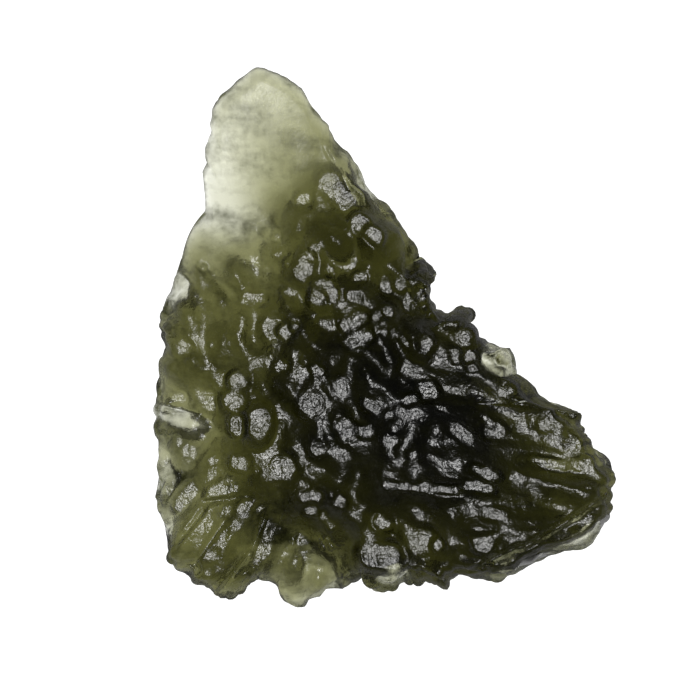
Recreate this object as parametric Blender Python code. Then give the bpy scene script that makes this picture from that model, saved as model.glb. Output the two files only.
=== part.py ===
"""A raw moldavite: one fragment of natural green glass, lying on its back.

The stone is two sheets that share one rim, the crown above and the back below.
Both are worked out from the same square grid, laid over the stone's outline.
Seen from above, X runs across the stone, Y along it to the point, and Z is height.
Lengths are in millimetres here and become metres when the mesh is made.
"""

import itertools
import math

import bmesh
import bpy
import numpy as np

MM = 0.001

# Grid cells along each side of the square that both sheets are made from.
GRID = 48
# Place inside the outline from which every part of the rim can be seen.
HEART = (-2.8, -4.2)
# How far the grid's rings crowd towards the rim, from 0, evenly spread, to 1.
RIM_CROWDING = 0.8
# Share of the rim's length by which the grid's corners are turned round the outline.
GRID_TURN = 0.06
# Length of rim that settles the direction in which the rim runs at a place.
RIM_SPAN = 3.0
# Share of the stone's thickness at which the rim runs between back and crown.
RIM_SHARE = 0.36

# Corners of the outline, clockwise from the point: x, y, and how far the arc to the
# next corner bows outwards. A hollow between two corners bows inwards, below zero.
POINT_EDGE = [
    (-8.2, 17.6, 0.2), (-5.3, 16.2, -0.1), (-3.5, 13.7, -0.2), (-2.3, 12.1, 0.1),
    (-1.4, 10.4, -0.1), (0.3, 8.4, 0.4), (2.0, 4.9, 0.0), (2.6, 5.0, 0.15),
    (3.4, 4.0, -0.3), (3.4, 1.8, -0.25),
]
WING_EDGE = [
    (5.1, 1.9, 0.2), (5.7, 0.9, 0.1), (6.2, 0.3, -0.1), (6.6, -0.2, -0.25),
    (8.3, -0.7, 0.2), (8.7, -2.5, 0.1), (9.5, -3.1, -0.1), (10.2, -4.0, 0.0),
    (11.3, -4.4, 0.1), (12.9, -5.1, -0.15), (13.4, -6.8, 0.0), (14.5, -8.2, -0.05),
    (14.9, -9.4, -0.05), (14.9, -11.3, 0.15), (13.6, -13.3, 0.05), (12.2, -14.0, -0.15),
]
LOWER_EDGE = [
    (9.1, -15.3, 0.2), (6.1, -15.7, 0.0), (4.9, -15.4, 0.0), (4.1, -16.3, 0.0),
    (3.0, -16.1, -0.15), (1.2, -16.2, 0.0), (0.6, -16.5, 0.05), (-0.7, -16.6, 0.1),
    (-1.2, -15.7, -0.15), (-2.6, -16.6, -0.05), (-3.7, -16.6, 0.0), (-4.1, -17.1, -0.1),
    (-5.3, -17.6, 0.1), (-6.5, -17.4, 0.1), (-6.9, -16.4, -0.6), (-9.2, -16.7, 0.05),
    (-10.6, -16.9, 0.1), (-13.2, -15.4, 0.25),
]
LEFT_EDGE = [
    (-14.1, -14.0, 0.0), (-14.4, -12.0, -0.05), (-15.0, -10.5, -0.1), (-14.7, -7.7, 0.0),
    (-14.9, -5.5, 0.1), (-14.6, -2.1, -0.05), (-14.3, -0.7, 0.2), (-14.4, 1.7, 0.0),
    (-13.2, 5.1, 0.3), (-11.7, 8.2, -0.05), (-11.9, 10.7, 0.0), (-11.6, 11.3, 0.05),
    (-11.7, 12.0, 0.05), (-11.3, 13.3, 0.1), (-11.1, 15.1, 0.1), (-9.8, 16.4, 0.1),
]
ARC_STEPS = 12

# Stations of the broad form: x, y, height of the crown, height of the back, and width
# of the shoulder over which the crown falls to the rim near that place.
STATIONS = [
    (-8.2, 16.5, 4.6, 3.2, 1.6), (-5.4, 14.4, 5.0, 3.0, 1.4), (-10.6, 12.0, 3.9, 3.0, 1.4),
    (-10.8, 9.6, 3.7, 2.8, 1.6), (-6.2, 12.1, 5.0, 2.8, 1.6), (-3.6, 10.9, 6.2, 2.4, 1.6),
    (-8.6, 6.4, 5.2, 2.4, 2.4), (-3.4, 5.8, 7.6, 1.6, 2.4), (0.4, 5.0, 6.8, 1.5, 1.8),
    (-10.0, 2.4, 6.2, 1.9, 2.6), (-13.2, 2.6, 4.4, 2.3, 2.0), (-10.8, -0.4, 6.4, 1.7, 2.6),
    (-5.0, 0.5, 7.4, 0.6, 2.6), (1.0, -0.8, 7.8, 0.4, 2.0), (4.8, -1.2, 7.0, 1.1, 1.6),
    (-13.3, -5.4, 4.3, 2.0, 2.0), (-8.0, -6.6, 6.6, 0.5, 2.6), (-2.0, -4.8, 7.6, 0.0, 2.6),
    (3.2, -7.4, 8.6, 0.0, 2.0), (8.0, -4.8, 7.0, 0.9, 1.6), (12.0, -6.4, 6.6, 1.5, 1.6),
    (11.4, -9.8, 7.8, 1.2, 1.3), (7.4, -12.4, 8.2, 1.0, 1.3), (13.4, -10.6, 6.6, 1.6, 1.3),
    (-2.4, -10.4, 7.2, 0.3, 2.4), (-10.8, -12.2, 6.0, 1.4, 2.4), (-13.8, -9.6, 4.2, 2.0, 1.8),
    (-4.2, -15.2, 4.2, 1.8, 1.8), (1.4, -13.4, 6.8, 1.0, 1.6), (-8.2, -14.8, 4.6, 1.7, 1.8),
]
STATION_REACH = 2.1

# Flat-floored pits of the crown: x, y, length, width, and turn of the length in degrees.
UPPER_PITS = [
    (-2.9, 9.3, 2.9, 1.2, -50), (-1.5, 7.3, 1.2, 0.9, -45), (-0.6, 6.5, 1.0, 0.8, -45),
    (-5.2, 4.5, 1.4, 1.1, 70), (-3.7, 2.9, 1.2, 1.0, -60), (0.6, 3.2, 1.4, 0.8, 0),
    (-1.9, 0.9, 1.8, 0.8, 25), (-6.8, 0.5, 1.9, 1.1, -15), (-1.6, -0.2, 1.8, 0.8, 20),
    (2.7, -0.5, 0.9, 0.8, 0),
]
MIDDLE_PITS = [
    (-13.1, -0.8, 1.3, 0.8, 0), (-9.4, -2.9, 1.1, 0.9, 0), (-9.7, -4.2, 1.3, 0.9, 0),
    (-11.3, -4.2, 1.2, 0.8, 90), (-9.5, -5.8, 1.2, 0.9, 90), (-4.6, -4.4, 1.4, 1.3, 0),
    (-2.7, -3.3, 1.2, 0.8, 90), (-0.7, -4.5, 1.3, 0.7, -25), (-2.0, -6.1, 1.6, 1.0, 0),
    (-2.8, -7.6, 1.2, 0.7, 0), (-6.6, -8.5, 1.7, 1.3, 0), (-9.3, -8.2, 1.1, 0.9, 0),
    (-12.8, -10.5, 2.0, 0.9, 50), (-10.6, -10.1, 1.4, 0.8, 20), (-7.9, -13.8, 1.0, 0.9, 0),
    (-4.6, -10.7, 1.4, 1.0, 15), (0.1, -14.1, 2.4, 1.5, 0),
]
WING_PITS = [
    (5.3, -0.1, 1.0, 0.9, 0), (5.6, -1.6, 1.1, 0.8, 90), (2.8, -3.6, 1.2, 0.9, 0),
    (5.0, -6.3, 1.6, 0.7, -35), (7.1, -6.2, 1.3, 0.8, 0), (8.8, -5.7, 1.2, 0.7, 90),
    (10.6, -5.7, 1.3, 0.7, 15), (12.2, -4.9, 1.6, 0.8, -25), (12.3, -7.1, 0.9, 0.8, 0),
    (10.6, -8.2, 2.4, 0.7, -12), (6.4, -9.2, 2.2, 0.9, -15), (7.1, -11.5, 1.6, 0.7, -10),
    (2.4, -13.2, 1.6, 1.2, 0), (6.4, -13.4, 1.0, 0.9, 0), (8.5, -13.5, 0.9, 0.8, 90),
]
# The floor of a pit lies this share of its width below the ground round it, and its
# brim is this many times as wide as its floor.
PIT_DEPTH = 0.28
BRIM = 2.2

# Deep hollows of the back that leave the glass thin above them: x, y, length, width,
# turn in degrees, and the thickness of glass that is left.
WINDOWS = [
    (-13.2, 2.9, 1.3, 1.2, 90, 1.0), (-13.3, -5.4, 2.1, 0.9, -20, 0.9),
    (-13.9, -9.4, 1.4, 0.9, 90, 0.9), (7.8, -1.8, 2.0, 1.7, 0, 1.0),
    (0.6, -15.2, 1.8, 0.8, 15, 0.9), (-4.3, -15.6, 2.4, 1.6, 90, 1.2),
]

# The smooth boss on the left of the crown: x, y, length, width and turn, and its rise.
BOSS = (-8.2, -5.8, 3.6, 2.6, 90)
BOSS_RISE = 0.7

# Grounds of etched cups: x, y of the middle of the ground, its reach, the direction in
# which its cups run in degrees, and length and width of one cup.
CUP_FIELDS = [
    (-3.0, 3.0, 8.0, -35, 2.6, 2.2), (-10.5, -10.5, 6.0, 50, 4.2, 2.0),
    (9.5, -8.5, 6.5, -14, 4.4, 2.1), (-3.0, -15.5, 4.0, 88, 3.4, 1.9),
]
CUP_DEPTH = 1.3
# Height of the cups' crests, in the squared distances that shape them: skin above this
# level stands proud of the broad form, and skin below it is eaten in.
CREST = 0.4
CUP_SEED = 7
# The thin point is smooth, with cups this much shallower.
POINT_SMOOTH = 0.15
# Where the point's smooth skin gives way to the etched body, along Y.
POINT_FROM = (4.5, 10.5)
# The etching fades out this close to the rim, so that the outline stays as it is.
RIM_FADE = 0.7

# The worn flat spot that the stone rests on: x, y, length, width and turn, and how far
# it is worn into the back.
REST_SPOT = (-0.9, -5.0, 8.6, 7.6, 0)
REST_WEAR = 0.4

GLASS_COLOUR = (0.045, 0.05, 0.015, 1.0)
GLASS_ROUGHNESS = 0.12


def outline():
    """Points around the rim, each arc bowed by a parabola on its chord."""
    corners = np.array(POINT_EDGE + WING_EDGE + LOWER_EDGE + LEFT_EDGE)
    start = corners[:, None, :2]
    chord = np.roll(corners, -1, axis=0)[:, None, :2] - start
    length = np.linalg.norm(chord, axis=2, keepdims=True)
    outward = np.stack([-chord[..., 1], chord[..., 0]], axis=2) / length
    part = np.linspace(0.0, 1.0, ARC_STEPS, endpoint=False)[None, :, None]
    bow = corners[:, None, 2:3] * 4.0 * part * (1.0 - part)
    return (start + chord * part + outward * bow).reshape(-1, 2)


def along_outline(share):
    """Rim points at shares of the whole way round, and how far each stands off the heart.

    The stand-off is the distance from the heart to the line that touches the rim there.
    """
    rim = outline()
    closed = np.vstack([rim, rim[:1]])
    steps = np.linalg.norm(np.diff(closed, axis=0), axis=1)
    travelled = np.concatenate([[0.0], np.cumsum(steps)])
    way = (share % 1.0) * travelled[-1]
    point = np.stack([np.interp(way, travelled, closed[:, i]) for i in (0, 1)], axis=-1)
    ahead = (way + 0.5 * RIM_SPAN) % travelled[-1]
    behind = (way - 0.5 * RIM_SPAN) % travelled[-1]
    run_x, run_y = (
        np.interp(ahead, travelled, closed[:, i]) - np.interp(behind, travelled, closed[:, i])
        for i in (0, 1)
    )
    arm_x, arm_y = (point - np.array(HEART)).T
    return point, np.abs(arm_x * run_y - arm_y * run_x) / np.hypot(run_x, run_y)


def spread(across, up):
    """Lay the square grid over the outline: x, y, and distance in from the rim.

    A square ring of the grid becomes a copy of the outline, shrunk towards the heart.
    """
    ring = np.maximum(np.abs(across), np.abs(up))
    safe = np.where(ring > 0.0, ring, 1.0)
    a, b = across / safe, up / safe
    share = np.select(
        [(b >= np.abs(a)), (a >= np.abs(b)), (-b >= np.abs(a))],
        [(a + 1.0) / 8.0, 0.25 + (1.0 - b) / 8.0, 0.5 + (1.0 - a) / 8.0],
        0.75 + (b + 1.0) / 8.0,
    )
    reach = ring + RIM_CROWDING * ring ** 3 * (1.0 - ring)
    rim, stand_off = along_outline(share - GRID_TURN)
    heart = np.array(HEART)
    place = heart + (rim - heart) * reach[:, None]
    return place[:, 0], place[:, 1], (1.0 - reach) * stand_off


def broad_form(x, y):
    """Crown height, back height and shoulder width: a mean of the stations near by."""
    stations = np.array(STATIONS)
    apart = (x[:, None] - stations[:, 0]) ** 2 + (y[:, None] - stations[:, 1]) ** 2
    weight = np.exp(-apart / (2.0 * STATION_REACH ** 2)) + 1e-9
    return (weight @ stations[:, 2:] / weight.sum(axis=1, keepdims=True)).T


def oval_distance(x, y, centre_x, centre_y, length, width, turn):
    """Distance from the centre of a turned oval, 1 on the oval itself."""
    angle = math.radians(turn)
    along = (x - centre_x) * math.cos(angle) + (y - centre_y) * math.sin(angle)
    beside = (y - centre_y) * math.cos(angle) - (x - centre_x) * math.sin(angle)
    return np.hypot(2.0 * along / length, 2.0 * beside / width)


def soft_step(value):
    """Rise smoothly from 0 to 1 while the value goes from 0 to 1."""
    value = np.clip(value, 0.0, 1.0)
    return value * value * (3.0 - 2.0 * value)


def sunk(away):
    """1 on the floor of an oval hollow, falling softly to 0 at its brim."""
    return soft_step((BRIM - away) / (BRIM - 1.0))


def round_over(share):
    """Rise from 0 at the rim to 1 at the shoulder's end as a quarter circle does."""
    return np.sqrt(1.0 - (1.0 - np.clip(share, 0.0, 1.0)) ** 2)


def etched_share(y):
    """How strongly the skin is etched: fully on the body, hardly on the smooth point."""
    start, end = POINT_FROM
    return 1.0 - (1.0 - POINT_SMOOTH) * soft_step((y - start) / (end - start))


def cups(place, seed):
    """Squared distance to the nearest of a lattice of scattered points.

    It is 0 in the middle of a cup and comes to a sharp crest where two cups meet.
    """
    scatter = np.random.default_rng(seed).uniform(0.1, 0.9, (16, 16, 16, 3))
    cell = np.floor(place).astype(int)
    nearest = np.full(len(place), 9.0)
    for step in itertools.product((-1, 0, 1), repeat=3):
        near = cell + step
        spot = scatter[tuple((near % 16).T)]
        nearest = np.minimum(nearest, ((near + spot - place) ** 2).sum(axis=1))
    return np.minimum(nearest, 1.0)


def etching(place):
    """How far the skin is eaten in: the grounds near a place, each by its closeness."""
    x, y, z = place.T
    eaten = np.zeros_like(x)
    weights = np.full_like(x, 1e-6)
    for number, (mid_x, mid_y, reach, turn, length, width) in enumerate(CUP_FIELDS):
        angle = math.radians(turn)
        along = (x * math.cos(angle) + y * math.sin(angle)) / length
        beside = (y * math.cos(angle) - x * math.sin(angle)) / width
        weight = np.exp(-((x - mid_x) ** 2 + (y - mid_y) ** 2) / reach ** 2)
        lattice = np.stack([along, beside, z / width], axis=1)
        eaten += weight * (CREST - cups(lattice, CUP_SEED + number))
        weights += weight
    return CUP_DEPTH * eaten / weights * etched_share(y)


def broad_surface(x, y, inward, is_back):
    """Height of the stone before etching, its rise over the shoulder, and way to the rim.

    Crown and back both leave the rim upright and round over to their own broad form.
    """
    top, bowl, shoulder = broad_form(x, y)
    rim = bowl + RIM_SHARE * (top - bowl)
    rise = round_over(inward / shoulder)
    worn = sunk(oval_distance(x, y, *REST_SPOT))
    far_side = np.where(is_back, bowl - REST_WEAR * worn, top)
    height = rim + (far_side - rim) * rise
    boss = BOSS_RISE * np.maximum(0.0, 1.0 - oval_distance(x, y, *BOSS) ** 2)
    return height + np.where(is_back, 0.0, boss), rise, np.hypot(inward, height - rim)


def cut_pits(x, y, height, rise, is_back):
    """Level floors let into the crown, one for each pit."""
    for pit in UPPER_PITS + MIDDLE_PITS + WING_PITS:
        away = oval_distance(x, y, *pit)
        near = np.where(is_back, 0.0, np.exp(-2.0 * away ** 2))
        floor = (near * height).sum() / near.sum() - PIT_DEPTH * pit[3]
        share = np.where(is_back, 0.0, sunk(away) * rise)
        height = height + (floor - height) * share
    return height


def hollow_back(x, y, height, rise, is_back):
    """Hollows let into the back under the windows, and the flat spot at z = 0."""
    top = broad_form(x, y)[0]
    for mid_x, mid_y, length, width, turn, glass in WINDOWS:
        away = oval_distance(x, y, mid_x, mid_y, length, width, turn)
        share = np.where(is_back, sunk(away) * rise, 0.0)
        height = height + (np.maximum(height, top - glass) - height) * share
    return np.maximum(height, 0.0)


def two_sheets():
    """Two flat square sheets, the lower one facing down, joined along their borders."""
    mesh = bmesh.new()
    bmesh.ops.create_grid(mesh, x_segments=GRID, y_segments=GRID, size=1.0)
    for corner in mesh.verts:
        corner.co.z = 1.0 - max(abs(corner.co.x), abs(corner.co.y))
    copied = bmesh.ops.duplicate(mesh, geom=mesh.verts[:] + mesh.edges[:] + mesh.faces[:])
    lower = [item for item in copied["geom"] if isinstance(item, bmesh.types.BMFace)]
    for corner in {corner for face in lower for corner in face.verts}:
        corner.co.z *= -1.0
    bmesh.ops.reverse_faces(mesh, faces=lower)
    border = [corner for corner in mesh.verts if corner.is_boundary]
    bmesh.ops.remove_doubles(mesh, verts=border, dist=1e-5)
    return mesh


def move(mesh, places):
    """Put each vertex at its place, and find the directions in which the skin faces."""
    for corner, place in zip(mesh.verts, places):
        corner.co = place
    mesh.normal_update()
    return np.array([corner.normal for corner in mesh.verts])


def shape_stone(mesh):
    """Move the vertices of the two sheets onto the stone's surface."""
    flat = np.array([corner.co for corner in mesh.verts])
    is_back = flat[:, 2] < 0.0
    x, y, inward = spread(flat[:, 0], flat[:, 1])
    height, rise, from_rim = broad_surface(x, y, inward, is_back)
    broad = np.stack([x, y, height], axis=1)
    facing = move(mesh, broad)
    fade = soft_step(from_rim / RIM_FADE)
    worn = np.where(is_back, sunk(oval_distance(x, y, *REST_SPOT)), 0.0)
    etched = broad - facing * (etching(broad) * fade * (1.0 - worn))[:, None]
    x, y, height = etched.T
    height = cut_pits(x, y, height, rise, is_back)
    height = hollow_back(x, y, height, rise, is_back)
    move(mesh, np.stack([x, y, height], axis=1) * MM)
    bmesh.ops.triangulate(mesh, faces=mesh.faces[:], quad_method="SHORT_EDGE")


def glass_material():
    """Dark bottle-green natural glass with a faintly frosted skin."""
    material = bpy.data.materials.new("green_glass")
    material.use_nodes = True
    shader = material.node_tree.nodes["Principled BSDF"]
    shader.inputs["Base Color"].default_value = GLASS_COLOUR
    shader.inputs["Roughness"].default_value = GLASS_ROUGHNESS
    shader.inputs["Metallic"].default_value = 0.0
    material.diffuse_color = GLASS_COLOUR
    return material


def main():
    for leftover in list(bpy.data.objects):
        bpy.data.objects.remove(leftover)
    collection = bpy.data.collections.new("moldavite")
    bpy.context.scene.collection.children.link(collection)
    sheets = two_sheets()
    shape_stone(sheets)
    data = bpy.data.meshes.new("stone")
    sheets.to_mesh(data)
    sheets.free()
    stone = bpy.data.objects.new("stone", data)
    stone.data.materials.append(glass_material())
    collection.objects.link(stone)


main()
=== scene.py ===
"""A raw moldavite seen from straight above: green natural glass on a bright white table."""

import itertools
import math

import bpy
import numpy as np
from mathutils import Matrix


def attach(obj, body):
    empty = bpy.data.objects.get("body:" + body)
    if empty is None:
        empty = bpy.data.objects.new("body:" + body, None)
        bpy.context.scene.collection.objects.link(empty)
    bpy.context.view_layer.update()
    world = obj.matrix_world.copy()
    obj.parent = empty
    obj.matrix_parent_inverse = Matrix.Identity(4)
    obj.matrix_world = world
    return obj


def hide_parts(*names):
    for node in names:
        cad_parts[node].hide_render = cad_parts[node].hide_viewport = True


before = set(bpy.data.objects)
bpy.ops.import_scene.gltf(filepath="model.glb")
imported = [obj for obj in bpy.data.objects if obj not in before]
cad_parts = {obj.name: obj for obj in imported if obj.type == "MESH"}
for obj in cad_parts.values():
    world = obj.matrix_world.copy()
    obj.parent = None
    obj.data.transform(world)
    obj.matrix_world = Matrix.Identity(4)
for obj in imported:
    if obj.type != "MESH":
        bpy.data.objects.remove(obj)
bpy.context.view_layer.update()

# The camera looks straight down, because the stone lies on its back, and the picture's
# upper edge is the stone's +Y. Its scale is set at a level half-way up the stone.
PIXEL = 0.000065
PICTURE_PIXELS = 700
SCALE_HEIGHT = 0.004
CAMERA_PLACE = (-0.00218, -0.00091, 0.454)
SENSOR_WIDTH = 36.0
NEAREST_SEEN = 0.01

camera_data = bpy.data.cameras.new("camera")
camera_data.sensor_width = SENSOR_WIDTH
camera_data.lens = SENSOR_WIDTH * (CAMERA_PLACE[2] - SCALE_HEIGHT) / (PICTURE_PIXELS * PIXEL)
camera_data.clip_start = NEAREST_SEEN
camera = bpy.data.objects.new("camera", camera_data)
camera.location = CAMERA_PLACE
bpy.context.scene.collection.objects.link(camera)
bpy.context.scene.camera = camera

# The stone's outline. The glass broke off a larger splash and was eaten away in the
# ground, which left a chain of shallow scallops round its edge, some of them hollow.
# Lengths are in millimetres up to the point where the mesh is made.
HEART = (-2.8, -4.2)
# Each corner is x, y, and how far the edge from it to the next one bows out.
POINT_EDGE = [
    (-8.2, 17.6, 0.2), (-5.3, 16.2, -0.1), (-3.5, 13.7, -0.2), (-2.3, 12.1, 0.1),
    (-1.4, 10.4, -0.1), (0.3, 8.4, 0.4), (2.0, 4.9, 0.0), (2.6, 5.0, 0.15),
    (3.4, 4.0, -0.3), (3.4, 1.8, -0.25),
]
WING_EDGE = [
    (5.1, 1.9, 0.2), (5.7, 0.9, 0.1), (6.2, 0.3, -0.1), (6.6, -0.2, -0.25),
    (8.3, -0.7, 0.2), (8.7, -2.5, 0.1), (9.5, -3.1, -0.1), (10.2, -4.0, 0.0),
    (11.3, -4.4, 0.1), (12.9, -5.1, -0.15), (13.4, -6.8, 0.0), (14.5, -8.2, -0.05),
    (14.9, -9.4, -0.05), (14.9, -11.3, 0.15), (13.6, -13.3, 0.05), (12.2, -14.0, -0.15),
]
LOWER_EDGE = [
    (9.1, -15.3, 0.2), (6.1, -15.7, 0.0), (4.9, -15.4, 0.0), (4.1, -16.3, 0.0),
    (3.0, -16.1, -0.15), (1.2, -16.2, 0.0), (0.6, -16.5, 0.05), (-0.7, -16.6, 0.1),
    (-1.2, -15.7, -0.15), (-2.6, -16.6, -0.05), (-3.7, -16.6, 0.0), (-4.1, -17.1, -0.1),
    (-5.3, -17.6, 0.1), (-6.5, -17.4, 0.1), (-6.9, -16.4, -0.6), (-9.2, -16.7, 0.05),
    (-10.6, -16.9, 0.1), (-13.2, -15.4, 0.25),
]
LEFT_EDGE = [
    (-14.1, -14.0, 0.0), (-14.4, -12.0, -0.05), (-15.0, -10.5, -0.1), (-14.7, -7.7, 0.0),
    (-14.9, -5.5, 0.1), (-14.6, -2.1, -0.05), (-14.3, -0.7, 0.2), (-14.4, 1.7, 0.0),
    (-13.2, 5.1, 0.3), (-11.7, 8.2, -0.05), (-11.9, 10.7, 0.0), (-11.6, 11.3, 0.05),
    (-11.7, 12.0, 0.05), (-11.3, 13.3, 0.1), (-11.1, 15.1, 0.1), (-9.8, 16.4, 0.1),
]
ARC_STEPS = 16
RIM_SPAN = 3.0
GRID_TURN = 0.06
RIM_CROWDING = 0.8
NOTCH_PITCH = 0.34
NOTCH_DEPTH = 0.22
NOTCH_SWELL = 0.37
# Each wave of notches is its pace, how far it wanders, and how fast it wanders.
NOTCH_WAVES = [(1.0, 1.3, 0.9), (0.61, 2.0, 0.53)]
NOTCHES_FADE = (4.0, 10.0)
NOTCHES_LOST = 0.6


def soft_step(value):
    """Cubic step that rises from 0 to 1 while the value goes from 0 to 1."""
    value = np.clip(value, 0.0, 1.0)
    return value * value * (3.0 - 2.0 * value)


def outline():
    """Rim points: each corner's chord to the next, bowed outwards by a parabola."""
    corners = np.array(POINT_EDGE + WING_EDGE + LOWER_EDGE + LEFT_EDGE)
    start = corners[:, None, :2]
    chord = np.roll(corners, -1, axis=0)[:, None, :2] - start
    length = np.linalg.norm(chord, axis=2, keepdims=True)
    outward = np.stack([-chord[..., 1], chord[..., 0]], axis=2) / length
    part = np.linspace(0.0, 1.0, ARC_STEPS, endpoint=False)[None, :, None]
    bow = corners[:, None, 2:3] * 4.0 * part * (1.0 - part)
    return (start + chord * part + outward * bow).reshape(-1, 2)


def notch_height(way, y):
    """How far the rim stands out between its small notches.

    The sizes of two wandering sine waves are multiplied. The product swells and shrinks
    along the rim by a slow sine wave, and a soft step makes it less on the smooth point.
    """
    height = NOTCH_DEPTH * (0.5 + 0.5 * np.sin(NOTCH_SWELL * way))
    for pace, reach, wander in NOTCH_WAVES:
        height *= np.abs(np.sin(pace * way / NOTCH_PITCH + reach * np.sin(wander * way)))
    start, end = NOTCHES_FADE
    return height * (1.0 - NOTCHES_LOST * soft_step((y - start) / (end - start)))


def along_outline(share):
    """Notched rim point at a share of the way round, and the rim's distance from the heart.

    The distance is taken square to the rim, whose direction is its chord over a short span.
    """
    rim = outline()
    closed = np.vstack([rim, rim[:1]])
    steps = np.linalg.norm(np.diff(closed, axis=0), axis=1)
    travelled = np.concatenate([[0.0], np.cumsum(steps)])
    way = (share % 1.0) * travelled[-1]
    point = np.stack([np.interp(way, travelled, closed[:, i]) for i in (0, 1)], axis=-1)
    ahead = (way + 0.5 * RIM_SPAN) % travelled[-1]
    behind = (way - 0.5 * RIM_SPAN) % travelled[-1]
    run = np.stack([
        np.interp(ahead, travelled, closed[:, i]) - np.interp(behind, travelled, closed[:, i])
        for i in (0, 1)
    ], axis=-1)
    outward = np.stack([-run[..., 1], run[..., 0]], axis=-1)
    outward /= np.linalg.norm(outward, axis=-1, keepdims=True)
    point = point + outward * (notch_height(way, point[..., 1]) - 0.5 * NOTCH_DEPTH)[..., None]
    arm = point - np.array(HEART)
    area = np.abs(arm[..., 0] * run[..., 1] - arm[..., 1] * run[..., 0])
    return point, area / np.linalg.norm(run, axis=-1)


def spread(across, up):
    """Square grid laid over the outline: x, y, and distance in from the rim.

    A square ring of the grid becomes the outline, shrunk towards the heart by the ring's
    size, with the rings closer together near the rim.
    """
    ring = np.maximum(np.abs(across), np.abs(up))
    safe = np.where(ring > 0.0, ring, 1.0)
    right, top = across / safe, up / safe
    share = np.select(
        [(top >= np.abs(right)), (right >= np.abs(top)), (-top >= np.abs(right))],
        [(right + 1.0) / 8.0, 0.25 + (1.0 - top) / 8.0, 0.5 + (1.0 - right) / 8.0],
        0.75 + (top + 1.0) / 8.0,
    )
    reach = ring + RIM_CROWDING * ring ** 3 * (1.0 - ring)
    rim, stand_off = along_outline(share - GRID_TURN)
    place = np.array(HEART) + (rim - np.array(HEART)) * reach[..., None]
    return place[..., 0], place[..., 1], (1.0 - reach) * stand_off


# The broad form: a lens of glass, thin and flat at the point and along the left, thick in
# the wing, with a steep broken side at the lower right. Each station is x, y, height of
# the crown, height of the back, and width of the shoulder where the crown meets the rim.
STATIONS = [
    (-8.2, 16.5, 4.6, 3.2, 1.6), (-5.4, 14.4, 5.0, 3.0, 1.4), (-10.6, 12.0, 3.9, 3.0, 1.4),
    (-10.8, 9.6, 3.7, 2.8, 1.6), (-6.2, 12.1, 5.0, 2.8, 1.6), (-3.6, 10.9, 6.2, 2.4, 1.6),
    (-8.6, 6.4, 5.2, 2.4, 2.4), (-3.4, 5.8, 7.6, 1.6, 2.4), (0.4, 5.0, 6.8, 1.5, 1.8),
    (-10.0, 2.4, 6.2, 1.9, 2.6), (-13.2, 2.6, 4.4, 2.3, 2.0), (-10.8, -0.4, 6.4, 1.7, 2.6),
    (-5.0, 0.5, 7.4, 0.6, 2.6), (1.0, -0.8, 7.8, 0.4, 2.0), (4.8, -1.2, 7.0, 1.1, 1.6),
    (-13.3, -5.4, 4.3, 2.0, 2.0), (-8.0, -6.6, 6.6, 0.5, 2.6), (-2.0, -4.8, 7.6, 0.0, 2.6),
    (3.2, -7.4, 8.6, 0.0, 2.0), (8.0, -4.8, 7.0, 0.9, 1.6), (12.0, -6.4, 6.6, 1.5, 1.6),
    (11.4, -9.8, 7.8, 1.2, 1.3), (7.4, -12.4, 8.2, 1.0, 1.3), (13.4, -10.6, 6.6, 1.6, 1.3),
    (-2.4, -10.4, 7.2, 0.3, 2.4), (-10.8, -12.2, 6.0, 1.4, 2.4), (-13.8, -9.6, 4.2, 2.0, 1.8),
    (-4.2, -15.2, 4.2, 1.8, 1.8), (1.4, -13.4, 6.8, 1.0, 1.6), (-8.2, -14.8, 4.6, 1.7, 1.8),
]
STATION_REACH = 2.1
FAINTEST = 1e-9
RIM_SHARE = 0.36
SHOULDER = 0.75
BOSS = (-8.2, -5.8, 3.6, 2.6, 90)
BOSS_RISE = 0.7
REST_SPOT = (-0.9, -5.0, 8.6, 7.6, 0)
REST_WEAR = 0.4
BRIM = 2.2


def broad_form(x, y):
    """Mean of the stations, each weighted by a bell curve of its distance."""
    stations = np.array(STATIONS)
    apart = (x[..., None] - stations[:, 0]) ** 2 + (y[..., None] - stations[:, 1]) ** 2
    weight = np.exp(-apart / (2.0 * STATION_REACH ** 2)) + FAINTEST
    mean = weight @ stations[:, 2:] / weight.sum(axis=-1, keepdims=True)
    return mean[..., 0], mean[..., 1], mean[..., 2]


def turned(x, y, turn, centre_x=0.0, centre_y=0.0):
    """Place seen from a centre, along and across a direction turned by some degrees."""
    angle = math.radians(turn)
    along = (x - centre_x) * math.cos(angle) + (y - centre_y) * math.sin(angle)
    beside = (y - centre_y) * math.cos(angle) - (x - centre_x) * math.sin(angle)
    return along, beside


def oval_distance(x, y, centre_x, centre_y, length, width, turn):
    """Distance from the centre of a turned oval, 1 on the oval itself."""
    along, beside = turned(x, y, turn, centre_x, centre_y)
    return np.hypot(2.0 * along / length, 2.0 * beside / width)


def sunk(away, brim=BRIM):
    """1 on the floor of an oval hollow, falling by a soft step to 0 at its brim."""
    return soft_step((brim - away) / (brim - 1.0))


def broad_surface(x, y, inward, is_back):
    """Rim height plus a quarter circle's rise over the shoulder to the broad form.

    The crown has a low boss, a parabola over an oval, and the back a worn oval where it
    rests. The other values are the rise, from 0 to 1, and the distance from the rim.
    """
    top, bowl, shoulder = broad_form(x, y)
    rim = bowl + RIM_SHARE * (top - bowl)
    across = np.clip(inward / (SHOULDER * shoulder), 0.0, 1.0)
    rise = np.sqrt(1.0 - (1.0 - across) ** 2)
    if is_back:
        far_side = bowl - REST_WEAR * sunk(oval_distance(x, y, *REST_SPOT))
    else:
        far_side = top + BOSS_RISE * np.maximum(0.0, 1.0 - oval_distance(x, y, *BOSS) ** 2)
    height = rim + (far_side - rim) * rise
    return height, rise, np.hypot(inward, height - rim)


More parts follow.
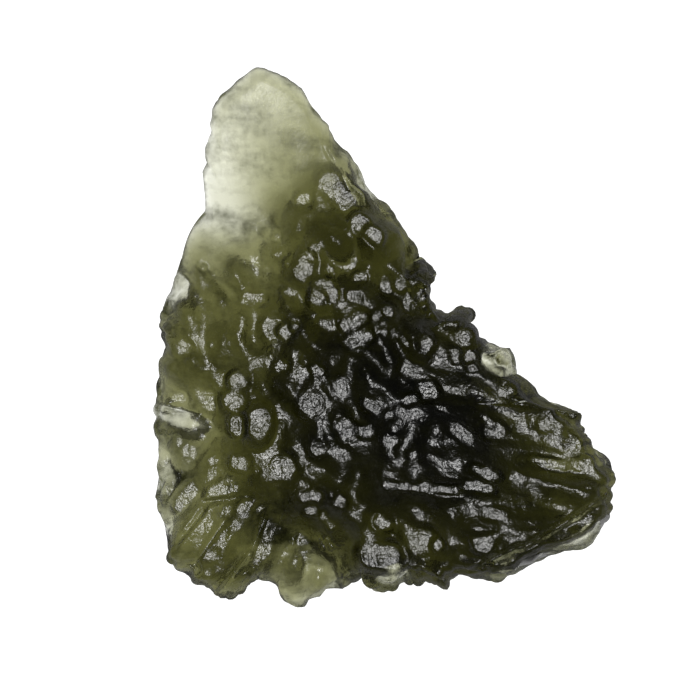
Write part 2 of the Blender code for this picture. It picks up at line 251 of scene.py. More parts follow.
# The etched cups. Ground water ate the glass into close-set cups that meet in sharp
# crests, deep round the rim and on the back, faint on the crown, and hardly any on the
# smooth point. A field of cups is x, y, reach, turn, and one cup's length and width.
CUP_FIELDS = [
    (-3.0, 3.0, 8.0, -35, 2.6, 2.2), (-10.5, -10.5, 6.0, 50, 4.2, 2.0),
    (9.5, -8.5, 6.5, -14, 4.4, 2.1), (-3.0, -15.5, 4.0, 88, 3.4, 1.9),
]
LEAST_FIELD = 1e-6
CUP_DEPTH = 1.0
SMALL_CUPS = 0.45
SMALL_DEPTH = 0.42
CREST = 0.4
CUP_FOOT = 0.1
CUP_SEED = 7
SMALL_SEED = 27
LATTICE = 16
SCATTER = (0.1, 0.9)
FAR = 9.0
POINT_SMOOTH = 0.1
POINT_FROM = (4.5, 10.5)
POINT_LEAN = 0.7
POINT_MIDDLE = -7.5
RIM_FADE = 0.3
CROWN_CALM = 0.85
CROWN_FROM = 2.2
SHORTEST = 1e-12


def cups(place, seed):
    """Distance to the nearest point of a scattered lattice, rounded off at its foot.

    It is 0 in the middle of a cup and comes to a sharp crest where two cups meet.
    """
    scatter = np.random.default_rng(seed).uniform(*SCATTER, (LATTICE, LATTICE, LATTICE, 3))
    cell = np.floor(place).astype(int)
    nearest = np.full(place.shape[:-1], FAR)
    for step in itertools.product((-1, 0, 1), repeat=3):
        i, j, k = np.moveaxis((cell + step) % LATTICE, -1, 0)
        spot = cell + step + scatter[i, j, k]
        nearest = np.minimum(nearest, ((spot - place) ** 2).sum(axis=-1))
    return np.minimum(np.sqrt(nearest + CUP_FOOT ** 2) - CUP_FOOT, 1.0)


def etched_share(x, y):
    """How strongly the skin is etched: fully on the body, hardly on the smooth point.

    A soft step along a direction that leans to the upper left.
    """
    start, end = POINT_FROM
    way = y - POINT_LEAN * (x - POINT_MIDDLE)
    return 1.0 - (1.0 - POINT_SMOOTH) * soft_step((way - start) / (end - start))


def etching(place):
    """Depth eaten in: wide cups with small ones over them.

    It is the mean of the fields, each weighted by a bell curve of its distance, times the
    etched share.
    """
    x, y, z = place[..., 0], place[..., 1], place[..., 2]
    eaten = np.zeros_like(x)
    weights = np.full_like(x, LEAST_FIELD)
    for number, (mid_x, mid_y, reach, turn, length, width) in enumerate(CUP_FIELDS):
        along, beside = turned(x, y, turn)
        weight = np.exp(-((x - mid_x) ** 2 + (y - mid_y) ** 2) / reach ** 2)
        lattice = np.stack([along / length, beside / width, z / width], axis=-1)
        wide = CREST - cups(lattice, CUP_SEED + number)
        small = CREST - cups(lattice / SMALL_CUPS, SMALL_SEED + number)
        eaten += weight * (CUP_DEPTH * wide + SMALL_DEPTH * small)
        weights += weight
    return eaten / weights * etched_share(x, y)


def facing(sheet, is_back):
    """Outward directions of a sheet, from the cross product of its two grid slopes."""
    slope = np.cross(np.gradient(sheet, axis=1), np.gradient(sheet, axis=0))
    slope /= np.linalg.norm(slope, axis=-1, keepdims=True) + SHORTEST
    return slope if is_back else -slope


def etched_sheet(broad, inward, from_rim, is_back):
    """Broad surface less the depth eaten in, taken along the surface's outward direction.

    Soft steps take the etching away at the very rim, on the resting spot of the back, and
    for the most part on the crown.
    """
    eaten = etching(broad) * soft_step(from_rim / RIM_FADE)
    if is_back:
        eaten *= 1.0 - sunk(oval_distance(broad[..., 0], broad[..., 1], *REST_SPOT))
    else:
        eaten *= 1.0 - CROWN_CALM * soft_step(inward / CROWN_FROM)
    return broad - facing(broad, is_back) * eaten[..., None]


# The wavy ground of the crown. The etching left smooth low hills between the pits, and
# drew them out into furrows where the glass had flowed. An oval of furrows is x, y,
# length, width, turn, and the hills' pace along it, where their pace across it is 1.
HILL_WAVES = 18
HILL_PITCH = (1.5, 4.4)
HILL_SLOPE = 0.5
HILL_SEED = 11
FURROW_SEED = 12
DRAWN_OUT = [
    (8.8, -9.0, 14.0, 9.0, -12, 0.3), (-11.2, -11.6, 9.0, 6.5, 52, 0.35),
    (-3.2, -15.2, 5.0, 4.5, 84, 0.35), (5.0, -2.6, 7.0, 5.0, -28, 0.45),
]
FINER = 1.1
DENT_PITCH = 0.7
DENT_DEPTH = 0.1
DENT_SEED = 47


def hills(x, y, seed):
    """Seeded sum of plane waves of every direction, long and short, all equally steep."""
    chance = np.random.default_rng(seed)
    pitch = np.geomspace(*HILL_PITCH, HILL_WAVES)
    turn = chance.uniform(0.0, 2.0 * math.pi, HILL_WAVES)
    start = chance.uniform(0.0, 2.0 * math.pi, HILL_WAVES)
    travelled = x[..., None] * np.cos(turn) + y[..., None] * np.sin(turn)
    height = HILL_SLOPE * math.sqrt(2.0 / HILL_WAVES) * pitch / (2.0 * math.pi)
    return (height * np.sin(2.0 * math.pi * travelled / pitch + start)).sum(axis=-1)


def wrinkles(x, y):
    """Hills, changed inside each turned oval to finer hills drawn out along its length."""
    height = hills(x, y, HILL_SEED)
    for number, (mid_x, mid_y, length, width, turn, pace) in enumerate(DRAWN_OUT):
        along, beside = turned(x, y, turn)
        drawn_out = hills(pace * FINER * along, FINER * beside, FURROW_SEED + number) / FINER
        inside = np.exp(-oval_distance(x, y, mid_x, mid_y, length, width, turn) ** 4)
        height += inside * (drawn_out - height)
    return height


def dents(place):
    """Fine shallow cups: their middles lie below the ground and their crests above it."""
    return DENT_DEPTH * (cups(place / DENT_PITCH, DENT_SEED) - CREST)


# The pits with level floors. Between the hills the etching left small flat-bottomed pits
# and ledges, and their floors are what catches the light from above. Each one is x, y,
# length, width, and turn of its length in degrees.
UPPER_PITS = [
    (-2.9, 9.3, 2.9, 1.2, -50), (-5.2, 8.8, 0.8, 0.8, 0), (-6.2, 9.0, 0.3, 0.3, 0),
    (-1.5, 7.3, 1.2, 0.9, -45), (-0.6, 6.5, 1.0, 0.8, -45), (-6.9, 6.4, 0.5, 0.5, 0),
    (-4.5, 5.7, 0.7, 0.4, -30), (-6.7, 5.3, 0.9, 0.4, 10), (-6.1, 4.8, 0.6, 0.4, 20),
    (-5.0, 4.9, 1.0, 0.8, 0), (-5.2, 4.2, 1.1, 0.9, 0), (-3.5, 4.2, 0.6, 0.4, -30),
    (-1.5, 3.8, 0.9, 0.5, 0), (-6.2, 2.8, 0.8, 0.4, -40), (-8.4, 2.4, 1.5, 0.6, 0),
    (-3.8, 3.2, 1.0, 0.8, 0), (-3.4, 2.7, 0.8, 0.7, 0), (-4.3, 2.4, 0.8, 0.8, 0),
    (-1.9, 2.6, 1.0, 0.5, -10), (0.2, 3.1, 0.8, 0.7, 0), (1.1, 3.3, 0.7, 0.6, 0),
    (2.4, 2.7, 0.8, 0.6, 90), (1.5, 2.3, 1.2, 0.35, 90), (0.3, 1.6, 0.7, 0.6, 40),
    (-3.7, 0.9, 1.0, 0.6, 0), (-1.9, 0.9, 1.8, 0.7, 25), (-7.1, 0.6, 1.3, 1.0, 0),
    (-6.3, 0.3, 0.9, 0.7, 0), (-5.7, 0.6, 0.5, 0.4, 0), (-0.5, 1.2, 0.5, 0.4, 0),
    (-1.6, -0.2, 1.8, 0.7, 20), (0.0, 0.3, 1.2, 0.3, 5), (0.9, 0.0, 1.2, 0.3, -35),
    (2.7, -0.5, 0.8, 0.8, 0), (1.4, -0.4, 0.8, 0.3, -45),
]
MIDDLE_PITS = [
    (-11.1, -0.6, 0.4, 0.3, 0), (-13.1, -0.8, 1.3, 0.7, 0), (-9.4, -2.9, 1.1, 0.9, 0),
    (-9.7, -4.2, 1.3, 0.9, 0), (-11.3, -4.2, 1.2, 0.7, 90), (-13.2, -4.0, 0.8, 0.6, 0),
    (-8.1, -5.5, 1.4, 1.2, 90), (-9.5, -5.8, 1.2, 0.8, 90), (-4.6, -4.4, 1.4, 1.3, 0),
    (-6.8, -4.9, 0.9, 0.3, 90), (-4.3, -2.3, 0.9, 0.6, 0), (-5.2, -2.5, 0.8, 0.6, 0),
    (-6.6, -2.0, 0.9, 0.5, 0), (-2.7, -3.3, 1.2, 0.8, 90), (-0.7, -4.5, 1.3, 0.6, -25),
    (0.4, -5.1, 0.6, 0.4, 0), (-2.6, -5.7, 1.0, 0.6, 0), (-2.2, -6.3, 1.0, 0.9, 0),
    (-1.1, -6.2, 1.0, 0.6, 0), (-2.8, -7.6, 1.2, 0.6, 0), (0.4, -6.7, 1.0, 0.5, 0),
    (-4.3, -7.3, 0.8, 0.8, 0), (-6.6, -8.5, 1.7, 1.3, 0), (-5.2, -8.1, 0.6, 0.5, 0),
    (-9.3, -8.2, 1.1, 0.8, 0), (-11.0, -8.1, 0.9, 0.4, 0), (-14.2, -8.0, 0.9, 0.6, 90),
    (-12.8, -10.5, 2.0, 0.9, 50), (-10.6, -10.1, 1.4, 0.8, 20), (-9.0, -10.9, 1.4, 0.5, 50),
    (-8.1, -11.2, 0.6, 0.4, 50), (-9.5, -12.2, 0.5, 0.4, 0), (-10.6, -13.1, 1.2, 0.4, 50),
    (-11.1, -14.2, 0.8, 0.5, 50), (-12.5, -15.1, 1.0, 0.6, 0), (-4.6, -10.4, 1.3, 0.6, 15),
    (-2.8, -10.7, 0.8, 0.6, 90), (-3.7, -11.9, 1.4, 0.4, -60), (-4.7, -11.3, 0.8, 0.6, 0),
    (0.0, -12.1, 1.1, 0.6, -20), (-7.9, -13.8, 1.0, 0.8, 0), (-5.2, -13.3, 0.7, 0.6, 0),
    (-4.0, -13.4, 0.9, 0.25, -65), (-3.5, -13.4, 0.9, 0.25, -65), (-0.2, -14.2, 2.4, 1.4, 0),
]
WING_PITS = [
    (5.3, -0.1, 1.0, 0.9, 0), (5.6, -1.4, 0.8, 0.6, 0), (5.7, -2.1, 0.6, 0.5, 0),
    (4.6, -1.3, 0.9, 0.5, 90), (2.1, -2.6, 2.3, 0.6, -30), (2.8, -3.6, 1.2, 0.9, 0),
    (1.7, -4.1, 1.0, 0.5, 20), (4.4, -3.6, 0.5, 0.3, -20), (5.0, -6.3, 1.6, 0.7, -35),
    (7.1, -6.2, 1.3, 0.8, 0), (6.7, -5.5, 0.8, 0.4, -45), (8.8, -5.7, 1.2, 0.6, 90),
    (10.6, -5.7, 1.3, 0.6, 15), (11.9, -4.9, 1.4, 0.7, -25), (12.3, -7.1, 0.8, 0.8, 0),
    (10.6, -8.2, 2.4, 0.45, -12), (12.9, -8.3, 1.2, 0.6, 0), (6.5, -8.8, 2.0, 0.5, -20),
    (8.6, -9.2, 1.2, 0.4, -10), (6.1, -9.7, 2.1, 0.5, -12), (1.9, -7.7, 0.7, 0.4, 0),
    (2.7, -9.7, 0.6, 0.6, 0), (0.7, -9.9, 0.6, 0.6, 0), (4.4, -9.6, 0.6, 0.5, 0),
    (3.7, -4.7, 0.8, 0.3, -10), (13.2, -9.8, 0.5, 0.3, 0), (14.3, -10.1, 0.6, 0.4, 0),
    (7.1, -11.5, 1.6, 0.6, -10), (2.4, -13.2, 1.6, 1.2, 0), (3.5, -13.5, 0.6, 0.6, 0),
    (6.4, -13.4, 1.0, 0.9, 0), (7.1, -12.9, 0.5, 0.4, 0), (8.5, -13.5, 0.9, 0.8, 90),
    (9.8, -12.9, 0.6, 0.5, 0), (7.5, -14.2, 0.4, 0.3, 0), (2.4, -9.8, 5.0, 0.45, -3),
]
PITS = UPPER_PITS + MIDDLE_PITS + WING_PITS
FLOOR_CURVE = 0.028
PIT_DEPTH = 0.04
PIT_BRIM = 2.0
PIT_GROWTH = 1.05
LONG_PIT = 1.55
RING_REACH = 2.4


def from_axis(x, y, centre_x, centre_y, length, width, turn):
    """Distance in mm from the straight axis of a round-ended pit."""
    along, beside = turned(x, y, turn, centre_x, centre_y)
    half = 0.5 * (length - width)
    return np.hypot(along - np.clip(along, -half, half), beside)


def level_floors(x, y, height, rise):
    """Blend to a shallow level bowl at the mean height of each pit's floor.

    The mean is weighted by a bell curve of the distance from the pit's axis.
    """
    for centre_x, centre_y, length, width, turn in PITS:
        apart = from_axis(x, y, centre_x, centre_y, length, width, turn)
        away = 2.0 * apart / (width * PIT_GROWTH)
        near = np.exp(-2.0 * away ** 2)
        mean = (near * height).sum() / near.sum()
        floor = mean + width * (FLOOR_CURVE * away ** 2 - PIT_DEPTH)
        height = height + (floor - height) * sunk(away, PIT_BRIM) * rise
    return height


def ring_marks(x, y):
    """Way across the marks of the nearest pit, and how strongly its marks show.

    The marks of a round pit are rings, so the way across them is the distance from its
    middle. A long pit has flutes across it, and the way is measured along its axis.
    """
    nearest, marks, ringed = np.full_like(x, FAR), np.zeros_like(x), np.zeros_like(x)
    for centre_x, centre_y, length, width, turn in PITS:
        apart = from_axis(x, y, centre_x, centre_y, length, width, turn)
        along = turned(x, y, turn, centre_x, centre_y)[0]
        way = along if length > LONG_PIT * width else apart
        marks = np.where(apart < nearest, way, marks)
        nearest = np.minimum(nearest, apart)
        ringed = np.maximum(ringed, sunk(2.0 * apart / width, RING_REACH))
    return marks, ringed


# The creases and bubble rims. Old cracks and burst gas bubbles of the glass were etched
# open into narrow grooves, which are straight or run round an axis like a ring. Each one
# is x, y, length of its axis, distance from the axis, turn, and depth.
GROOVES = [
    (7.8, -1.5, 0.3, 0.45, 0, 0.3), (-11.7, 7.3, 0.0, 0.26, 0, 0.12),
    (-11.6, 4.5, 0.0, 0.3, 0, 0.14), (-10.2, -10.6, 3.0, 0.0, 8, 0.3),
    (-7.9, 6.4, 1.0, 0.0, -50, 0.2), (-13.3, -4.7, 2.4, 0.0, -12, 0.3),
    (13.4, -10.9, 2.7, 0.0, 36, 0.4), (10.6, -12.7, 4.2, 0.0, 30, 0.4),
    (7.2, -14.3, 3.6, 0.0, 27, 0.4), (-13.0, 3.9, 1.4, 0.0, -35, 0.25),
    (3.4, 2.2, 2.4, 0.0, 60, 0.3), (-3.0, 10.8, 3.0, 0.0, -58, 0.12),
    (-9.5, -15.2, 2.6, 0.0, 53, 0.4), (-8.2, -13.0, 2.7, 0.0, 68, 0.4),
    (-12.7, -12.6, 3.2, 0.0, 52, 0.25), (-11.3, -13.4, 3.6, 0.0, 55, 0.25),
]
GROOVE_WIDTH = 0.16


def grooves(x, y):
    """Sum of bell-shaped grooves, each at its set distance from a short axis."""
    depth = np.zeros_like(x)
    for mid_x, mid_y, length, radius, turn, deepest in GROOVES:
        apart = from_axis(x, y, mid_x, mid_y, length, 0.0, turn)
        depth += deepest * np.exp(-((apart - radius) / GROOVE_WIDTH) ** 2)
    return depth


# The thin windows. Hollows of the back leave the glass only one or two millimetres thick,
# and the white table shows through. A window is x, y, length, width, turn, and the glass
# that is left. A scoop ends in its depth instead. The back is level where it rests.
WINDOWS = [
    (-13.2, 2.9, 1.6, 1.3, 90, 0.8), (-13.3, -5.4, 2.1, 0.9, -20, 0.6),
    (-13.9, -9.4, 1.4, 0.9, 90, 1.3), (7.4, -1.75, 2.3, 1.8, 0, 1.1),
    (0.6, -15.2, 1.8, 0.8, 15, 1.0), (-4.3, -15.6, 2.4, 1.6, 90, 2.2),
    (12.7, -12.9, 4.5, 0.9, 30, 1.4), (9.2, -14.7, 5.0, 0.8, 15, 1.5),
    (-2.3, 10.3, 4.0, 0.7, -56, 2.3),
]
SCOOPS = [
    (-4.4, 3.6, 6.5, 5.0, 0, 1.1), (-7.0, -0.4, 5.5, 6.0, 0, 1.2),
    (-11.4, 10.6, 8.0, 3.4, 84, 0.45), (-7.6, 14.2, 6.5, 6.0, -60, 0.6),
    (-9.8, 6.9, 5.0, 4.6, 70, 1.4), (-5.5, 10.0, 5.0, 4.0, -50, 0.4),
    (12.0, -8.2, 4.5, 2.6, -12, 2.0), (7.3, -4.2, 3.5, 1.0, -5, 1.8),
    (-7.7, -6.8, 5.0, 4.0, 0, 1.1), (-2.4, 9.9, 7.0, 1.8, -56, 0.8),
    (-11.8, -12.6, 4.0, 2.4, 50, 0.8), (2.4, 4.2, 3.0, 1.6, -60, 1.2),
    (-13.4, -12.2, 4.0, 2.0, 70, 1.0),
]
THINNEST = 0.5
THIN_BLEND = 0.25


def hollow_back(x, y, height, rise, crown):
    """Bell-shaped scoops, then level hollows under the windows, then the worn foot.

    A hyperbola keeps the thinnest glass between the hollows and the broad crown.
    """
    for mid_x, mid_y, length, width, turn, depth in SCOOPS:
        away = oval_distance(x, y, mid_x, mid_y, length, width, turn)
        height = height + depth * np.exp(-away ** 2) * rise
    top = broad_form(x, y)[0]
    for mid_x, mid_y, length, width, turn, glass in WINDOWS:
        away = oval_distance(x, y, mid_x, mid_y, length, width, turn)
        height = height + (np.maximum(height, top - glass) - height) * sunk(away) * rise
    ceiling = crown - THINNEST * rise
    spare = ceiling - height
    height = ceiling - 0.5 * (spare + np.hypot(spare, THIN_BLEND * rise))
    return np.maximum(height, 0.0)


# The dark parts of the glass's tint. It is darker in the middle, at the lower left and in
# a few spots, one of them painted shade in the crease at the neck, and painted shade darkens
# its edge all round. Each shade is x, y, length, width, turn, and how dark it is, from 0 to 1.
SHADES = [
    (1.5, -5.0, 15.0, 10.0, -20, 0.82), (-7.0, -12.4, 6.5, 4.5, 30, 0.8),
    (-13.6, -4.6, 14.0, 3.8, 90, 0.25), (-2.0, -14.6, 9.0, 3.4, 0, 0.55),
    (-12.8, -8.9, 3.4, 2.2, 30, 0.75), (10.6, -4.6, 4.0, 2.0, -20, 0.5),
    (-7.7, -11.9, 2.6, 1.6, -60, 0.6), (-4.6, 11.4, 4.0, 2.2, -45, 0.4),
    (-6.1, 16.4, 1.2, 0.5, -25, 0.8), (-3.1, 12.0, 1.8, 0.6, -50, 0.6),
    # The last one here, on the crease at the neck, is painted shade in the crease.
    (-11.0, 14.1, 0.9, 0.5, 80, 0.6), (-7.9, 6.4, 1.0, 0.5, -50, 0.5),
]
# Painted shade along the whole rim, standing in for the dark line that refraction draws at the
# edge of the glass.
RIM_PAINTED_SHADE = 0.75
EDGE_WIDTH = 0.22


def shade_of(x, y, inward):
    """How much darker the glass is, from 0 to 1.

    What each shade lets through, a bell curve over its turned oval, is multiplied, and so
    is what the painted shade along the rim, a bell curve of the distance in from it, lets
    through.
    """
    clear = np.ones_like(x)
    for mid_x, mid_y, length, width, turn, depth in SHADES:
        away = oval_distance(x, y, mid_x, mid_y, length, width, turn)
        clear *= 1.0 - depth * np.exp(-away ** 2)
    edge = RIM_PAINTED_SHADE * np.exp(-(inward / EDGE_WIDTH) ** 2)
    return 1.0 - clear * (1.0 - edge)


# The stone's skin: one closed mesh of two sheets on one square grid, the crown above and
# the back below, which share their rim. The back is frosted, and the point partly. It
# takes the place of the plain solid of the same form.
GRID = 220
MM = 0.001
FROST_OF_POINT = 0.5
FROST_OF_BACK = 1.0


def stone_sheet(is_back):
    """Etched broad surface, then hollows on the back, or hills, pits and grooves on the crown.

    It comes with the sheet's values for the glass: ring marks, frost and shade.
    """
    line = np.linspace(-1.0, 1.0, GRID + 1)
    x, y, inward = spread(*np.meshgrid(line, line))
    height, rise, from_rim = broad_surface(x, y, inward, is_back)
    broad = np.stack([x, y, height], axis=-1)
    x, y, height = np.moveaxis(etched_sheet(broad, inward, from_rim, is_back), -1, 0)
    share = etched_share(x, y)
    if is_back:
        crown = broad_surface(x, y, inward, False)[0]
        height = hollow_back(x, y, height, rise, crown)
        frost = np.full_like(x, FROST_OF_BACK)
    else:
        height = height + wrinkles(x, y) * rise * share
        height = level_floors(x, y, height, rise) - grooves(x, y) * rise
        height += dents(broad) * rise * share
        frost = FROST_OF_POINT * (1.0 - share)
    marks, ringed = ring_marks(x, y)
    return np.stack([x, y, height], axis=-1), (marks, ringed, frost, shade_of(x, y, inward))


def grid_triangles(numbers):
    """Two triangles for each cell, cut along the diagonal that points to the heart."""
    here, right = numbers[:-1, :-1], numbers[:-1, 1:]
    across, above = numbers[1:, 1:], numbers[1:, :-1]
    middle = np.arange(GRID) + 0.5 - GRID / 2
    same_side = (middle[:, None] * middle[None, :] > 0.0)[..., None]
    lower = np.where(same_side, np.stack([here, right, across], -1),
                     np.stack([here, right, above], -1))
    upper = np.where(same_side, np.stack([here, across, above], -1),
                     np.stack([right, across, above], -1))
    return np.concatenate([lower.reshape(-1, 3), upper.reshape(-1, 3)])


def stone_mesh():
    """Join the two sheets along their rim and fill a mesh with them.

    The back's inner points follow the crown's, and its triangles run the other way round.
    """
    (crown, crown_values), (back, back_values) = stone_sheet(False), stone_sheet(True)
    side = GRID + 1
    upper = np.arange(side * side).reshape(side, side)
    lower = upper.copy()
    lower[1:-1, 1:-1] = side * side + np.arange((side - 2) ** 2).reshape(side - 2, side - 2)
    places = np.concatenate([crown.reshape(-1, 3), back[1:-1, 1:-1].reshape(-1, 3)]) * MM
    faces = np.concatenate([grid_triangles(upper), grid_triangles(lower)[:, ::-1]])
    mesh = bpy.data.meshes.new("stone_skin")
    mesh.vertices.add(len(places))
    mesh.vertices.foreach_set("co", places.astype(np.float32).ravel())
    mesh.loops.add(faces.size)
    mesh.loops.foreach_set("vertex_index", faces.astype(np.int32).ravel())
    mesh.polygons.add(len(faces))
    mesh.polygons.foreach_set("loop_start", np.arange(0, faces.size, 3, dtype=np.int32))
    mesh.update(calc_edges=True)
    mesh.validate()
    mesh.polygons.foreach_set("use_smooth", np.ones(len(faces), dtype=bool))
    names = ("rings", "ringed", "frost", "shade")
    for name, above, below in zip(names, crown_values, back_values):
        values = np.concatenate([above.ravel(), below[1:-1, 1:-1].ravel()])
        layer = mesh.attributes.new(name, "FLOAT", "POINT")
        layer.data.foreach_set("value", values.astype(np.float32))
    return mesh


skin = bpy.data.objects.new("stone_skin", stone_mesh())
bpy.context.scene.collection.objects.link(skin)
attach(skin, "root")
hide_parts("stone")

# The glass: clear bottle-green natural glass, coloured all through by a little iron. Its
# skin has fine rings round each pit, fine cracks and a fine grain, and is frosted on the
# back and partly on the point. Each noise is its pitch in millimetres and its detail.
GLASS_IOR = 1.49
ABSORB_COLOUR = (0.38, 0.38, 0.07, 1.0)
ABSORB_DENSITY = 1020.0
RING_PITCH = 0.22
RING_HEIGHT = 0.0022
WANDER_NOISE = (0.7, 2.0)
RING_WANDER = 16.0
CRACK_PITCH = 0.5
CRACK_WIDTH = 0.12
CRACK_DEPTH = 0.0038
CRACK_NOISE = (0.25, 1.0)
CRACK_WANDER = 0.25
GRAIN_NOISE = (0.12, 2.0)
GRAIN_HEIGHT = 0.05
CALM_OF_FROST = 1.3
CLOUD_NOISE = (0.8, 4.0)
CLOUD_STRETCH = 0.35
CLOUD_TURN = 22.0
CLOUD_SHARE = 2.5
CLOUD_LIFT = 0.04
MOTTLE_NOISE = (0.2, 3.0)
MOTTLE_SHARE = 1.2
CLEAR_TINT = (0.97, 0.98, 0.96, 1.0)
DARK_TINT = (0.06, 0.065, 0.025, 1.0)
CROWN_ROUGHNESS = 0.26
DULL_NOISE = (1.0, 3.0)
DULL_SHARE = 0.25
FROST_ROUGHNESS = 0.5

glass = bpy.data.materials.new("green_glass_skin")
glass.use_nodes = True
nodes, links = glass.node_tree.nodes, glass.node_tree.links
shader = nodes["Principled BSDF"]
shader.inputs["IOR"].default_value = GLASS_IOR
shader.inputs["Transmission Weight"].default_value = 1.0
absorption = nodes.new("ShaderNodeVolumeAbsorption")
absorption.inputs["Color"].default_value = ABSORB_COLOUR
absorption.inputs["Density"].default_value = ABSORB_DENSITY
links.new(absorption.outputs["Volume"], nodes["Material Output"].inputs["Volume"])


def sum_of(first, factor, second):
    """Node for first times factor plus second."""
    node = nodes.new("ShaderNodeMath")
    node.operation = "MULTIPLY_ADD"
    links.new(first, node.inputs[0])
    node.inputs[1].default_value = factor
    if isinstance(second, float):
        node.inputs[2].default_value = second
    else:
        links.new(second, node.inputs[2])
    return node.outputs["Value"]


def product_of(first, second):
    """Node for first times second."""
    node = nodes.new("ShaderNodeMath")
    node.operation = "MULTIPLY"
    links.new(first, node.inputs[0])
    links.new(second, node.inputs[1])
    return node.outputs["Value"]


def place_moved(place, shift, reach):
    """Node for a place plus a shift times its reach in metres."""
    node = nodes.new("ShaderNodeVectorMath")
    node.operation = "MULTIPLY_ADD"
    links.new(shift, node.inputs[0])
    node.inputs[1].default_value = (reach, reach, reach)
    links.new(place, node.inputs[2])
    return node.outputs["Vector"]


def noise_of(kind, place, dimensions="3D"):
    """Node for smooth noise whose blobs are about a pitch in millimetres across."""
    pitch, detail = kind
    node = nodes.new("ShaderNodeTexNoise")
    node.noise_dimensions = dimensions
    node.inputs["Scale"].default_value = 0.5 / (pitch * MM)
    node.inputs["Detail"].default_value = detail
    links.new(place, node.inputs["Vector"])
    return node.outputs


def attribute_of(name):
    """Node for a value that the mesh holds at each point."""
    node = nodes.new("ShaderNodeAttribute")
    node.attribute_name = name
    return node.outputs["Fac"]


place = nodes.new("ShaderNodeTexCoord").outputs["Object"]
frost = attribute_of("frost")

# Rings round each pit: a sine wave of the way across them, which wanders with a noise.
wander = sum_of(noise_of(WANDER_NOISE, place)["Fac"], RING_WANDER, 0.0)
wave = nodes.new("ShaderNodeMath")
wave.operation = "SINE"
links.new(sum_of(attribute_of("rings"), 2.0 * math.pi / RING_PITCH, wander), wave.inputs[0])
rings = product_of(wave.outputs["Value"], attribute_of("ringed"))

# Cracks along the borders of scattered cells, and the grain. Frosted glass has less.
bend = noise_of(CRACK_NOISE, place, "2D")["Color"]
cracks = nodes.new("ShaderNodeTexVoronoi")
cracks.voronoi_dimensions = "2D"
cracks.feature = "DISTANCE_TO_EDGE"
cracks.inputs["Scale"].default_value = 1.0 / (CRACK_PITCH * MM)
links.new(place_moved(place, bend, CRACK_WANDER * MM), cracks.inputs["Vector"])
furrow = nodes.new("ShaderNodeMapRange")
furrow.inputs["From Max"].default_value = CRACK_WIDTH
furrow.inputs["To Max"].default_value = CRACK_DEPTH
links.new(cracks.outputs["Distance"], furrow.inputs["Value"])
grain = sum_of(noise_of(GRAIN_NOISE, place)["Fac"], GRAIN_HEIGHT, 0.0)
calm = sum_of(frost, -CALM_OF_FROST, 1.0)
calm.node.use_clamp = True
relief = sum_of(rings, RING_HEIGHT, sum_of(furrow.outputs["Result"], 1.0, grain))
bump = nodes.new("ShaderNodeBump")
bump.inputs["Strength"].default_value = 1.0
bump.inputs["Distance"].default_value = MM
links.new(product_of(relief, calm), bump.inputs["Height"])
links.new(bump.outputs["Normal"], shader.inputs["Normal"])

# The tint: the shades of the mesh, with clouds drawn out along the flow, and mottles.
along_flow = nodes.new("ShaderNodeMapping")
along_flow.inputs["Rotation"].default_value = (0.0, 0.0, math.radians(CLOUD_TURN))
along_flow.inputs["Scale"].default_value = (CLOUD_STRETCH, 1.0, 1.0)
links.new(place, along_flow.inputs["Vector"])
clouds = sum_of(noise_of(CLOUD_NOISE, along_flow.outputs["Vector"])["Fac"], CLOUD_SHARE,
                CLOUD_LIFT - 0.5 * CLOUD_SHARE)
mottles = sum_of(noise_of(MOTTLE_NOISE, place)["Fac"], MOTTLE_SHARE,
                 sum_of(clouds, 1.0, -0.5 * MOTTLE_SHARE))
tint = nodes.new("ShaderNodeMix")
tint.data_type = "RGBA"
tint.inputs["A"].default_value = CLEAR_TINT
tint.inputs["B"].default_value = DARK_TINT
links.new(sum_of(attribute_of("shade"), 1.0, mottles), tint.inputs["Factor"])
links.new(tint.outputs["Result"], shader.inputs["Base Color"])

# The roughness: satin on the crown, duller in places, and rising with the frost.
dull = sum_of(noise_of(DULL_NOISE, place)["Fac"], DULL_SHARE,
              CROWN_ROUGHNESS - 0.5 * DULL_SHARE)
links.new(sum_of(frost, FROST_ROUGHNESS - CROWN_ROUGHNESS, dull), shader.inputs["Roughness"])
skin.data.materials.append(glass)

# The table: a plain white light table, a sheet that glows evenly from below, just under
# the stone and wide enough to fill every view. Its glow is dimmer in reflections.
TABLE_SIZE = 3.0
TABLE_DROP = 0.00005
TABLE_COLOUR = (0.16, 0.16, 0.16, 1.0)
TABLE_ROUGHNESS = 0.9
TABLE_GLOW = 1.2
TABLE_SHEEN = 0.06
WHITE = (1.0, 1.0, 1.0, 1.0)

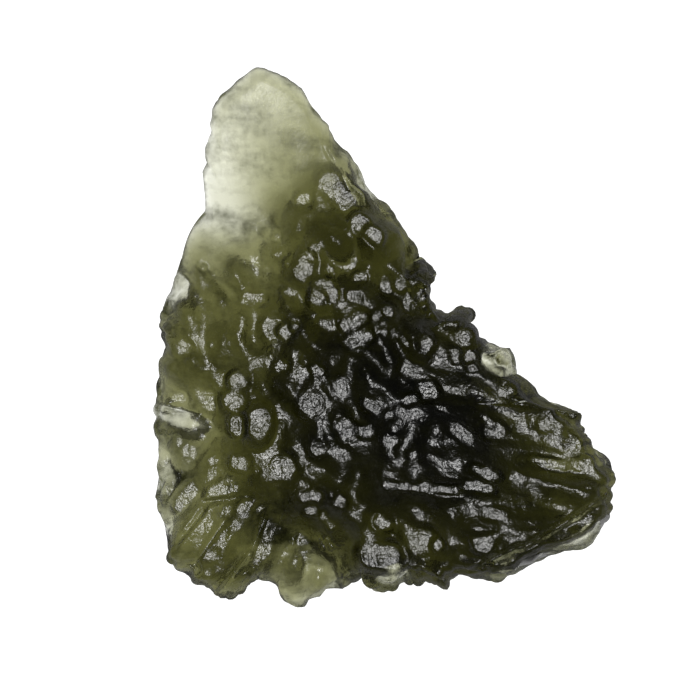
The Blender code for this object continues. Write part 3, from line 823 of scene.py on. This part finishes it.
table_mesh = bpy.data.meshes.new("table")
half = TABLE_SIZE / 2
table_mesh.from_pydata(
    [(-half, -half, -TABLE_DROP), (half, -half, -TABLE_DROP),
     (half, half, -TABLE_DROP), (-half, half, -TABLE_DROP)], [], [(0, 1, 2, 3)])
table = bpy.data.objects.new("table", table_mesh)
bpy.context.scene.collection.objects.link(table)
paper = bpy.data.materials.new("white_paper")
paper.use_nodes = True
paper_nodes, paper_links = paper.node_tree.nodes, paper.node_tree.links
paper_shader = paper_nodes["Principled BSDF"]
paper_shader.inputs["Base Color"].default_value = TABLE_COLOUR
paper_shader.inputs["Roughness"].default_value = TABLE_ROUGHNESS
paper_shader.inputs["Emission Color"].default_value = WHITE
ray = paper_nodes.new("ShaderNodeLightPath")
dimmer = paper_nodes.new("ShaderNodeMapRange")
dimmer.inputs["To Min"].default_value = TABLE_GLOW
dimmer.inputs["To Max"].default_value = TABLE_GLOW * TABLE_SHEEN
paper_links.new(ray.outputs["Is Reflection Ray"], dimmer.inputs["Value"])
paper_links.new(dimmer.outputs["Result"], paper_shader.inputs["Emission Strength"])
table.data.materials.append(paper)

# The light: one large soft round lamp straight overhead, whose mirror image is what
# makes the level floors of the pits grey, and dim light from all around.
LAMP_HEIGHT = 1.0
LAMP_WIDTH = 0.38
LAMP_POWER = 6.6
ROOM_LIGHT = 0.05
LIGHT_BOUNCES = 16

lamp_data = bpy.data.lights.new("overhead_lamp", "AREA")
lamp_data.shape = "DISK"
lamp_data.size = LAMP_WIDTH
lamp_data.energy = LAMP_POWER
lamp = bpy.data.objects.new("overhead_lamp", lamp_data)
lamp.location = (0.0, 0.0, LAMP_HEIGHT)
bpy.context.scene.collection.objects.link(lamp)
world = bpy.data.worlds.new("room")
world.use_nodes = True
world.node_tree.nodes["Background"].inputs["Color"].default_value = WHITE
world.node_tree.nodes["Background"].inputs["Strength"].default_value = ROOM_LIGHT
bpy.context.scene.world = world
bpy.context.scene.view_settings.view_transform = "Standard"
bpy.context.scene.cycles.max_bounces = LIGHT_BOUNCES
bpy.context.scene.cycles.transmission_bounces = LIGHT_BOUNCES
